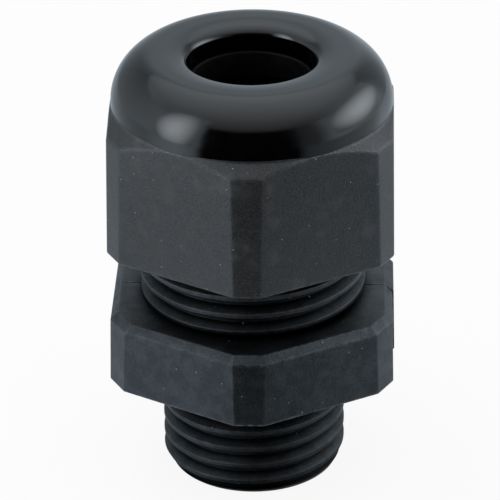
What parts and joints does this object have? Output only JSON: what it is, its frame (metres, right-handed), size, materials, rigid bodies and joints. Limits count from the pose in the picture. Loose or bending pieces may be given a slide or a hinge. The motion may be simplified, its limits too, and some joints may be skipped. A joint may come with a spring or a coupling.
{
  "type": "cable gland reducer",
  "caption": "Plastic cable gland with a domed cap nut, a hexagonal flange and a connection thread smaller than its cable end.",
  "frame": {"origin": "on the gland's axis, in the plane of the seat under the flange, at the root of the connection thread", "axes": "+Z along the axis towards the cable entry; the flange's flats face along X, so a corner faces along Y, and the nut is turned 0.4 degrees past it"},
  "size_m": [0.019, 0.0208, 0.0302],
  "materials": {
    "body_polyamide": "satin, spark-eroded mould grain",
    "nut_polyamide": "polished dome, satin flats",
    "cage_polyamide": "satin",
    "seal_rubber": "smooth moulded rubber"
  },
  "bodies": {
    "gland_body": {"gland_body": "body_polyamide", "clamping_cage": "cage_polyamide"},
    "sealing_insert": {"sealing_insert": "seal_rubber"},
    "dome_nut": {"dome_nut": "nut_polyamide"}
  },
  "joints": [
    {"name": "nut_travel", "type": "slide", "parent": "gland_body", "child": "sealing_insert", "axis": [0, 0, 1], "range_m": [-0.00413, 0.00255], "deforming": ["sealing_insert", "clamping_cage"]},
    {"name": "nut_turn", "type": "hinge", "parent": "sealing_insert", "child": "dome_nut", "pos_m": [0, 0, 0.016], "axis": [0, 0, 1], "range_deg": [-1170, 720]}
  ],
  "couplings": [
    {"joint": "nut_travel", "follows": "nut_turn", "m_per_rad": 0.00020213}
  ]
}
